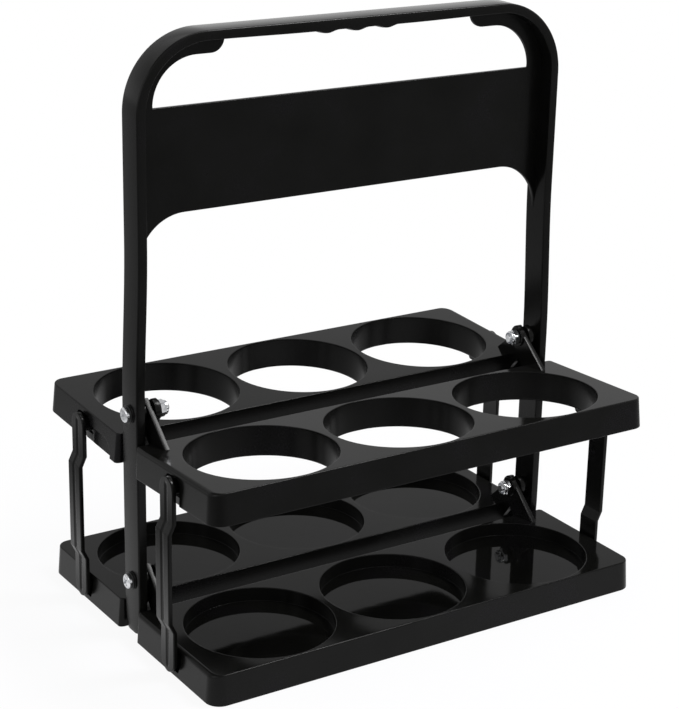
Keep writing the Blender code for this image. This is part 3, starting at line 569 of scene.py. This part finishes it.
def lug(pin, side):
    """The round-cornered plate that carries the link's pin down past an upper tray's skirt."""
    low, top = TRAY_BOTTOM - LUG_DROP, TRAY_BOTTOM + LUG_RISE
    near, far = pin[0] - LUG_HALF, pin[0] + LUG_HALF
    outline = np.concatenate(([[far, top], [near, top]],
                              arc((near + LUG_CORNER, low + LUG_CORNER), LUG_CORNER, 180, 270, 8),
                              arc((far - LUG_CORNER, low + LUG_CORNER), LUG_CORNER, 270, 360, 8)))
    return [np.column_stack((np.full(len(outline), side * place), inset_outline(outline, inset)))
            for inset, place in edge_rows(LUG_ROUND, BEARING_BACK, RECESS_FLOOR)]


def tray(name, body, cup, turn, height, tilt, finish):
    """One tray moulding: three hole cells, two ears with a boss on the inner one, and an upper tray's
    two lugs, leaned and placed on its pivot."""
    pin = Vector((LINK_PIN.y, LINK_PIN.z - UPPER_PIVOT))
    lean = Matrix.Rotation(-tilt, 2)
    pin = lean @ pin
    grids = [grid for index in range(3) for grid in tray_cell(index, pin, cup)]
    grids.append(ear(-INNER_EAR, EAR_THICKNESS - INNER_EAR))
    grids.append(ear(OUTER_EAR - EAR_THICKNESS, OUTER_EAR))
    root, face = EAR_THICKNESS / 2 - INNER_EAR, EAR_THICKNESS + EAR_BOSS_HEIGHT - INNER_EAR
    grids.append(revolved([(root, BORE_RADIUS), (root, EAR_BOSS_RADIUS),
                           (face - EAR_BOSS_ROUND, EAR_BOSS_RADIUS),
                           (face, EAR_BOSS_RADIUS - EAR_BOSS_ROUND), (face, BORE_RADIUS),
                           (root, BORE_RADIUS)]))
    lugs = [] if cup else [lug(pin, side) for side in (-1, 1)]
    grids += [(np.stack(rings), True, None) for rings in lugs]
    caps = [rings[i] for rings in lugs for i in (0, -1)]
    place = (Matrix.Translation((0, 0, height * MM)) @ Matrix.Rotation(turn, 4, 'Z')
             @ Matrix.Rotation(tilt, 4, 'X'))
    piece(name + "_moulding", grids, body, finish, [name], place, caps)


def revolved(profile, sides=48, centre=(0, 0)):
    """A profile of (x, radius) carried round an axis along X through (y, z)."""
    turn = 2 * math.pi * np.arange(sides) / sides
    rows = []
    for x, radius in profile:
        rows.append(np.column_stack((np.full(sides, x), centre[0] + radius * np.cos(turn),
                                     centre[1] + radius * np.sin(turn))))
    return np.stack(rows), True, None


def link_section(z, half, inner, groove):
    """One level of a link. Its inner face is flat; its outer face has rounded edges and a round
    groove between two ribs, which fades with the groove share."""
    y = half * np.sin(np.linspace(-math.pi / 2, math.pi / 2, 41))
    edge = np.clip((np.abs(y) - half + LINK_ROUND) / LINK_ROUND, 0, 1)
    dip = LINK_GROOVE_DEPTH * groove * smooth_step(GROOVE_EDGE_SHARE - np.abs(y) / LINK_GROOVE_HALF)
    dip = dip + LINK_ROUND * (1 - np.sqrt(1 - edge * edge))
    outer = np.column_stack((inner + LINK_THICKNESS - dip, y))
    back = np.array([[inner + EDGE_BREAK, half], [inner, half - EDGE_BREAK],
                     [inner, EDGE_BREAK - half], [inner + EDGE_BREAK, -half]])
    plan = np.concatenate((outer, back))
    return np.column_stack((plan, np.full(len(plan), z)))


def link(name, side, turn, finish):
    """A link about its upper pin: a strap with round ends, bowed outward in the middle by two jogs,
    with a boss and a barbed pin at each end."""
    levels = []
    for t in corner_turns(14, 88, 0):
        levels.append((LINK_HALF * math.sin(t), LINK_HALF * math.cos(t), LINK_INNER))
    for share in np.linspace(0, 1, 9):
        levels.append((-LINK_BOW_START - LINK_BOW_RUN * share, LINK_HALF, LINK_INNER + LINK_BOW * share))
    levels += [(-LINK_SPAN - z, half, inner) for z, half, inner in reversed(levels)]
    rows = []
    for z, half, inner in levels:
        depth = min(LINK_HALF - z, z + LINK_SPAN + LINK_HALF)
        fade = smooth_step((depth - GROOVE_START) / GROOVE_RUN)
        rows.append(link_section(z, half, inner, fade))
    grids = [(np.stack(rows), True, None)]
    root, stem, tip = LINK_INNER + BOSS_SINK, RECESS_FLOOR + GAP, BEARING_BACK - GAP
    profile = [(root, 0), (root, LINK_BOSS), (stem + EDGE_BREAK, LINK_BOSS),
               (stem, LINK_BOSS - EDGE_BREAK), (stem, PIN_RADIUS), (tip, PIN_RADIUS), (tip, BARB_RADIUS),
               (tip - BARB_FLAT, BARB_RADIUS), (tip - BARB_LENGTH, PIN_RADIUS), (tip - BARB_LENGTH, 0)]
    grids += [revolved(profile, 40, (0, z)) for z in (0, -LINK_SPAN)]
    place = Matrix.Translation((0, LINK_PIN.y * turn * MM, LINK_PIN.z * MM))
    if side < 0:
        place = place @ Matrix.Rotation(math.pi, 4, 'Z')
    caps = [rows[0], rows[-1]]
    piece(name + "_moulding", grids, name, finish, [name], place, caps)


def finger_wave(x):
    """The drop of the grip's underside: a slight swell with one raised cosine for each finger bump."""
    drop = GRIP_SWELL * smooth_step((LOOP_HALF - HANDLE_CORNER - np.abs(x)) / SWELL_RUN)
    for middle in (-FINGER_PITCH, 0, FINGER_PITCH):
        share = np.clip((x - middle + FINGER_SHIFT) / (FINGER_WIDTH / 2), -1, 1)
        drop = drop + FINGER_RISE * (1 + np.cos(math.pi * share)) / 2
    return drop


def handle_path():
    """The frame's outer line from foot to foot: x, z, outward x and z, and the half depth there."""
    half = HANDLE_DEPTH / 2
    leg_z = np.linspace(FOOT_HEIGHTS[-1] + LEG_START, HANDLE_TOP - HANDLE_CORNER, 30)
    z = np.concatenate((FOOT_HEIGHTS, leg_z))
    depth = np.concatenate((half * np.array(FOOT_DEPTH_SHARES), np.full(len(leg_z), half)))
    leg_x = HANDLE_HALF - HANDLE_SPREAD * smooth_step((z - SPREAD_START) / SPREAD_RUN)
    leg = np.column_stack((leg_x, z, np.ones(len(z)), np.zeros(len(z)), depth))
    turn = corner_turns(32)[1:]
    across, up = np.cos(turn), np.sin(turn)
    bend = np.column_stack((LOOP_HALF - HANDLE_CORNER * (1 - across),
                            HANDLE_TOP - HANDLE_CORNER * (1 - up), across, up, np.full(len(turn), half)))
    x = np.linspace(LOOP_HALF - HANDLE_CORNER - GRIP_START, 0, 110)
    grip = np.column_stack((x, np.full(len(x), HANDLE_TOP), np.zeros(len(x)), np.ones(len(x)),
                            np.full(len(x), half)))
    right = np.concatenate((leg, bend, grip))
    left = right[-2::-1] * np.array([-1, 1, -1, 1, 1])
    return np.concatenate((right, left))


def handle_band():
    """The frame's band: a flat section with rounded edges, carried along the path. The underside of
    the grip drops into finger bumps that are fullest at mid depth. A section's point is its inset from
    the band's edge, the side, its depth under the outer face, and whether it moves with the bumps."""
    x, z, across, up, half = handle_path().T
    inner = HANDLE_THICKNESS - INNER_ROUND
    front = [(HANDLE_ROUND * (1 - math.sin(t)), -1, HANDLE_ROUND * (1 - math.cos(t)), 0)
             for t in corner_turns(6)]
    front += [(INNER_ROUND * (1 - math.cos(t)), -1, inner + INNER_ROUND * math.sin(t), 1)
              for t in corner_turns(3)]
    underside = [(share * HANDLE_DEPTH / 2, -1, HANDLE_THICKNESS, 1) for share in UNDERSIDE_SHARES]
    middle = [(HANDLE_DEPTH / 2, 1, HANDLE_THICKNESS, 1)]
    half_section = front + underside
    back = [(inset, -side, depth, moves) for inset, side, depth, moves in reversed(half_section)]
    drop = finger_wave(x) * (up > STRAIGHT_SHARE)
    rows = []
    for inset, side, depth, moves in half_section + middle + back:
        y = side * (half - inset)
        fullness = 1 - EDGE_LOSS_SHARE * (y / half) ** 2
        inward = depth + moves * drop * fullness
        rows.append(np.column_stack((x - across * inward, y, z - up * inward)))
    return np.stack(rows, 1), True, None


def arc(centre, radius, start, end, steps=24):
    """Plan points of an arc, angles in degrees."""
    turn = corner_turns(steps, start, end)
    return np.array(centre) + radius * np.stack((np.cos(turn), np.sin(turn)), -1)


def web_outline():
    """The web's outline as (x, z): up inside the right leg, round the gusset's nose and corner, along
    the panel's top, back down on the left, and over the arches along the panel's bottom."""
    buried = HANDLE_THICKNESS / 2
    turn_x, turn_z = LOOP_HALF - HANDLE_CORNER, HANDLE_TOP - HANDLE_CORNER
    corner = GUSSET_TOP - PANEL_TOP
    under = GUSSET_TOP + GUSSET_NOSE
    arch = (LOOP_INNER - PANEL_ARCH, PANEL_BOTTOM - PANEL_ARCH)
    right = np.concatenate((
        [[LOOP_INNER + buried, arch[1]]],
        arc((turn_x, turn_z), HANDLE_CORNER - buried, 0, 90),
        [[GRIP_CLEAR, HANDLE_TOP - buried]],
        arc((GRIP_CLEAR + GUSSET_NOSE, under), GUSSET_NOSE, 180, 270, 10),
        arc((OPENING_SIDE - corner, PANEL_TOP), corner, 90, 0)))
    bottom = arc(arch, PANEL_ARCH, 90, 0)
    return np.concatenate((right, right[::-1] * (-1, 1), bottom[::-1] * (-1, 1), bottom))


def web(finish):
    """The flat panel with its corner gussets: a plate with lightly rounded edges."""
    outline = web_outline()
    rows = [(WEB_ROUND + SUPPORT, WEB_FRONT)] + edge_rows(WEB_ROUND, WEB_FRONT, WEB_BACK)
    rows.append((WEB_ROUND + SUPPORT, WEB_BACK))
    rings = []
    for inset, y in rows:
        plan = inset_outline(outline, inset)
        rings.append(np.column_stack((plan[:, 0], np.full(len(plan), y), plan[:, 1])))
    piece("handle_panel", [(np.stack(rings), True, None)], "frame", finish,
          caps=[rings[0], rings[-1]])


def handle(finish):
    """The loop of the handle, with the bosses that the screws go through."""
    band, around, keep = handle_band()
    piece("handle_loop", [(band, around, keep)], "frame", finish, ["handle_frame"],
          caps=[band[0], band[-1]])
    outer_root, inner_root = HANDLE_HALF - BOSS_SINK, LEG_INNER + BOSS_SINK
    outer = [(outer_root, 0), (outer_root, OUTER_BOSS), (BOSS_FACE - EDGE_BREAK, OUTER_BOSS),
             (BOSS_FACE, OUTER_BOSS - EDGE_BREAK), (BOSS_FACE, 0)]
    inner = [(inner_root, 0), (inner_root, INNER_BOSS + INNER_BOSS_DRAFT),
             (INNER_BOSS_FACE + EDGE_BREAK, INNER_BOSS), (INNER_BOSS_FACE, INNER_BOSS - EDGE_BREAK),
             (INNER_BOSS_FACE, 0)]
    grids = []
    for side in (-1, 1):
        for z in (LOWER_PIVOT, UPPER_PIVOT):
            for profile in (outer, inner):
                grids.append(revolved([(side * x, radius) for x, radius in profile], 40, (0, z)))
    piece("handle_bosses", grids, "frame", finish)


def screw_head():
    """The pan head on a polar grid: a low dome whose rim turns down, with a cross recess that deepens
    towards the middle."""
    sides = 96
    turn = 2 * math.pi * np.arange(sides) / sides
    radius = HEAD_RADIUS * np.sin(np.linspace(0, math.pi / 2, 36))
    r, a = np.meshgrid(radius, turn, indexing="ij")
    y, z = r * np.cos(a), r * np.sin(a)
    dome = HEAD_HEIGHT * (0.5 + 0.5 * (1 - (r / HEAD_RADIUS) ** 4) ** 0.5)
    narrow = np.minimum(np.abs(y), np.abs(z))
    wide = np.maximum(np.abs(y), np.abs(z))
    slot = smooth_step((CROSS_HALF - narrow) / CROSS_SIDE) * smooth_step((CROSS_REACH - wide) / CROSS_END)
    x = HEAD_FACE + dome - slot * (CROSS_DEPTH - CROSS_SLOPE * wide)
    top = np.stack((x, y, z), -1)
    rim = [np.column_stack((np.full(sides, level), reach * np.cos(turn), reach * np.sin(turn)))
           for level, reach in ((HEAD_FACE + HEAD_HEIGHT * HEAD_RIM_SHARE, HEAD_RADIUS),
                                (HEAD_FACE, HEAD_RADIUS), (HEAD_FACE, SCREW_RADIUS), (HEAD_FACE, 0))]
    return np.concatenate((top, np.stack(rim))), True, None


def screw_shank():
    """The threaded shank: a radius that waves once a pitch from the tip to just outside the nut."""
    tip = NUT_FACE - NUT_HEIGHT - SCREW_PAST_NUT
    profile = [(tip, 0), (tip, SCREW_RADIUS - SCREW_CHAMFER)]
    for x in np.linspace(tip + SCREW_CHAMFER, NUT_FACE + 1, 60):
        wave = math.cos(2 * math.pi * x / THREAD_PITCH)
        profile.append((x, SCREW_RADIUS - THREAD_DEPTH + THREAD_DEPTH * wave))
    return revolved(profile + [(HEAD_FACE + HEAD_SINK, SCREW_RADIUS), (HEAD_FACE + HEAD_SINK, 0)], 40)


def lock_nut():
    """A hexagon whose corners are cut back by a cone at each face, with a round domed collar and a
    bore."""
    sides = 96
    turn = 2 * math.pi * np.arange(sides) / sides
    wedge = (turn + math.pi / 6) % (math.pi / 3) - math.pi / 6
    flat = NUT_FLATS / 2
    hexagon = flat / np.cos(wedge)
    cone = [(depth, np.minimum(hexagon, flat + depth * NUT_CONE_SLOPE)) for depth in NUT_CONE_DEPTHS]
    rows = [(0, BORE_RADIUS), (0, flat - NUT_FACE_EDGE)] + cone
    rows += [(NUT_HEX_HEIGHT - depth, radius) for depth, radius in reversed(cone)]
    rows.append((NUT_HEX_HEIGHT, COLLAR_RADIUS))
    for t in corner_turns(5):
        rows.append((NUT_HEIGHT - COLLAR_ROUND + COLLAR_ROUND * math.sin(t),
                     COLLAR_RADIUS - COLLAR_ROUND + COLLAR_ROUND * math.cos(t)))
    inside = COLLAR_RADIUS - COLLAR_WALL
    rows += [(NUT_HEIGHT - COLLAR_LIP, inside), (NUT_HEX_HEIGHT, inside), (NUT_HEX_HEIGHT, BORE_RADIUS),
             (0, BORE_RADIUS)]
    grid = [np.column_stack((np.full(sides, NUT_FACE - depth), radius * np.cos(turn),
                             radius * np.sin(turn))) for depth, radius in rows]
    return np.stack(grid), True, None


def fittings(zinc, washer_nylon, ring_nylon):
    """A screw, washer, lock nut and nylon ring at each pivot, all drawn for the right-hand end."""
    washer_far, washer_edge = WASHER_FACE + WASHER_THICKNESS, WASHER_RADIUS - FITTING_ROUND
    washer = [(WASHER_FACE, BORE_RADIUS), (WASHER_FACE, washer_edge),
              (WASHER_FACE + FITTING_ROUND, WASHER_RADIUS), (washer_far - FITTING_ROUND, WASHER_RADIUS),
              (washer_far, washer_edge), (washer_far, BORE_RADIUS), (WASHER_FACE, BORE_RADIUS)]
    ring_outer = COLLAR_RADIUS - COLLAR_WALL - RING_GAP
    ring_start, ring_end = NUT_FACE - NUT_HEX_HEIGHT - RING_START, NUT_FACE - NUT_HEIGHT + RING_DROP
    ring = [(ring_start, SCREW_RADIUS), (ring_start, ring_outer), (ring_end + FITTING_ROUND, ring_outer),
            (ring_end, ring_outer - FITTING_ROUND), (ring_end, SCREW_RADIUS), (ring_start, SCREW_RADIUS)]
    kinds = [("pivot_screw", [screw_head(), screw_shank()], zinc, "zinc_plated_steel"),
             ("screw_washer", [revolved(washer)], washer_nylon, "black_nylon"),
             ("lock_nut", [lock_nut()], zinc, "zinc_plated_steel"),
             ("nylon_ring", [revolved(ring)], ring_nylon, "nylon")]
    tightened = {("upper", "left"): 20, ("upper", "right"): 65, ("lower", "left"): 38,
                 ("lower", "right"): 4}
    for level, height in (("lower", LOWER_PIVOT), ("upper", UPPER_PIVOT)):
        for side, turn in (("left", math.pi), ("right", 0)):
            spin = Matrix.Rotation(tightened[level, side] * DEG, 4, 'X')
            place = Matrix.Translation((0, 0, height * MM)) @ Matrix.Rotation(turn, 4, 'Z') @ spin
            for kind, grids, finish, slot in kinds:
                node = f"{kind}_{level}_{side}"
                piece(node + "_detail", grids, "frame", finish, [node], place)


def shadowed_paper():
    """White paper: pure white to the camera, apart from the soft shadow kept round the carrier's foot.
    In reflections it carries painted shade: its glow greys with distance from the carrier, and a painted
    shade patch, standing in for a dark room beyond the paper, makes it dimmest in front on the left."""
    shadow_start, shadow_end, shadow_share = 150, 330, 0.92
    # painted shade: a dimmer patch on the floor in front on the left, seen only in reflections
    painted_patch_middle, painted_patch_start, painted_patch_end, painted_patch_share = (-300, -370, 0), 100, 300, 0.3
    painted_falloff_reach = 1000
    # painted shade: the floor's glow, seen only in reflections, greys with distance from the carrier
    painted_falloff_greys = [(0.2, "#f4f4f4"), (0.36, "#cccccc"), (0.5, "#b2b2b2"), (0.9, "#a8a8a8")]
    finish = bpy.data.materials.new("studio_floor")
    finish.use_nodes = True
    tree = finish.node_tree
    tree.nodes.clear()
    path = add(tree, "ShaderNodeLightPath")
    seen = path.outputs["Is Camera Ray"]
    for kind in ("Is Glossy Ray", "Is Transmission Ray"):
        seen = add(tree, "ShaderNodeMath", links={0: seen, 1: path.outputs[kind]},
                   operation='MAXIMUM').outputs[0]
    place = add(tree, "ShaderNodeNewGeometry").outputs["Position"]
    away = add(tree, "ShaderNodeVectorMath", links={0: place}, operation='LENGTH').outputs["Value"]
    clear = add(tree, "ShaderNodeMapRange",
                {"From Min": shadow_start * MM, "From Max": shadow_end * MM, "To Min": shadow_share,
                 "To Max": 1.0}, {"Value": away})
    glowing = add(tree, "ShaderNodeMath", links={0: seen, 1: clear.outputs[0]}, operation='MULTIPLY')
    # painted shade: the reflected floor's tone falls from near white to grey with distance
    reach = add(tree, "ShaderNodeMapRange", {"From Max": painted_falloff_reach * MM}, {"Value": away})
    painted_falloff = ramp(tree, reach.outputs[0], painted_falloff_greys)
    # painted shade patch: the distance from its middle sets how far the reflected floor is dimmed
    painted_patch_distance = add(tree, "ShaderNodeVectorMath", {1: Vector(painted_patch_middle) * MM}, {0: place},
                operation='DISTANCE')
    painted_patch = add(tree, "ShaderNodeMapRange",
              {"From Min": painted_patch_start * MM, "From Max": painted_patch_end * MM, "To Min": painted_patch_share,
               "To Max": 1.0}, {"Value": painted_patch_distance.outputs["Value"]})
    # the reflected floor's tone with both kinds of painted shade, the fall with distance and the patch
    painted_shade_tone = add(tree, "ShaderNodeVectorMath", links={0: painted_falloff.outputs["Color"], "Scale": painted_patch.outputs[0]},
                 operation='SCALE')
    tone = add(tree, "ShaderNodeMix", {7: linear("#ffffff")},
               {0: path.outputs["Is Camera Ray"], 6: painted_shade_tone.outputs[0]}, data_type='RGBA')
    paper = add(tree, "ShaderNodeBsdfDiffuse", {"Color": linear("#eeeef8")})
    glow = add(tree, "ShaderNodeEmission", {"Strength": 1.0}, {"Color": tone.outputs[2]})
    mix = add(tree, "ShaderNodeMixShader",
              links={0: glowing.outputs[0], 1: paper.outputs[0], 2: glow.outputs[0]})
    add(tree, "ShaderNodeOutputMaterial", links={"Surface": mix.outputs[0]})
    return finish


def floor():
    """The studio floor: a sheet large enough to reach the horizon."""
    reach = 12.0
    mesh = bpy.data.meshes.new("studio_floor")
    mesh.from_pydata([(-reach, -reach, 0), (reach, -reach, 0), (reach, reach, 0), (-reach, reach, 0)],
                     [], [(0, 1, 2, 3)])
    mesh.materials.append(shadowed_paper())
    obj = bpy.data.objects.new("studio_floor", mesh)
    bpy.context.scene.collection.objects.link(obj)


def studio():
    """A room that is pale near the floor and greyer higher up, with one pale band, and three soft
    lamps. A stop's position is the height of the direction: 0 is level and 1 is straight up."""
    world = bpy.data.worlds.new("studio")
    bpy.context.scene.world = world
    world.use_nodes = True
    tree = world.node_tree
    way = add(tree, "ShaderNodeTexCoord").outputs["Generated"]
    height = add(tree, "ShaderNodeSeparateXYZ", links={0: way}).outputs["Z"]
    stops = [(0.0, "#f6f6f6"), (0.17, "#e4e4e4"), (0.26, "#cccccc"), (0.38, "#c4c4c4"), (0.47, "#b4b4b4"),
             (0.52, "#f0f0f0"), (0.6, "#f0f0f0"), (0.66, "#949494"), (1.0, "#949494")]
    tone = ramp(tree, height, stops)
    tree.links.new(tone.outputs["Color"], tree.nodes["Background"].inputs["Color"])
    target = Vector((0, 0, 150)) * MM
    lamps = [("key", (471, -314, 1057), 320, 8.5), ("overhead", (250, 100, 1600), 700, 4.0),
             ("left", (-1500, -300, 900), 900, 4.0)]
    for name, spot, size, power in lamps:
        lamp = bpy.data.lights.new(name, 'AREA')
        lamp.shape = 'SQUARE'
        lamp.size = size * MM
        lamp.energy = power
        obj = bpy.data.objects.new(name, lamp)
        obj.location = Vector(spot) * MM
        obj.rotation_euler = (obj.location - target).to_track_quat('Z', 'Y').to_euler()
        bpy.context.scene.collection.objects.link(obj)


def camera():
    """The photograph's viewpoint: from the front left, a little above, leaning by about a degree."""
    azimuth, elevation, roll = 33.096 * DEG, 19.404 * DEG, 1.224 * DEG
    target = Vector((-38.09, -50.93, 156.33)) * MM
    distance = 998.15 * MM
    focal, picture_height, sensor = 1962.97, 709, 36
    back = Vector((-math.sin(azimuth) * math.cos(elevation), -math.cos(azimuth) * math.cos(elevation),
                   math.sin(elevation)))
    right = (-back).cross(Vector((0, 0, 1))).normalized()
    up = right.cross(-back)
    leaned_right = right * math.cos(roll) + up * math.sin(roll)
    leaned_up = up * math.cos(roll) - right * math.sin(roll)
    lens = bpy.data.cameras.new("photograph")
    lens.sensor_width = sensor
    lens.lens = focal * sensor / picture_height
    obj = bpy.data.objects.new("photograph", lens)
    turn = Matrix((leaned_right, leaned_up, back)).transposed()
    obj.matrix_world = Matrix.Translation(target + back * distance) @ turn.to_4x4()
    bpy.context.scene.collection.objects.link(obj)
    bpy.context.scene.camera = obj


def dress():
    """Every piece of the carrier, then the studio."""
    abs_plastic = moulded_abs()
    for row, turn, sign in (("front", math.pi, -1), ("back", 0, 1)):
        tray(f"upper_{row}_tray", f"upper_{row}", False, turn, UPPER_PIVOT, UPPER_TILT, abs_plastic)
        tray(f"lower_{row}_tray", f"lower_{row}", True, turn, LOWER_PIVOT, 0, abs_plastic)
        for end, side in (("left", -1), ("right", 1)):
            link(f"link_{row}_{end}", side, sign, abs_plastic)
    handle(abs_plastic)
    web(abs_plastic)
    fittings(bright_zinc(), plain_nylon("black_nylon", "#0a0a0a", "#141414", 0.3, 0.5),
             plain_nylon("white_nylon", "#aeb2bd", "#c9ccd6", 0.3, 0.5))
    floor()
    studio()
    camera()


dress()
bpy.context.scene.view_settings.view_transform = 'Standard'
bpy.context.view_layer.update()
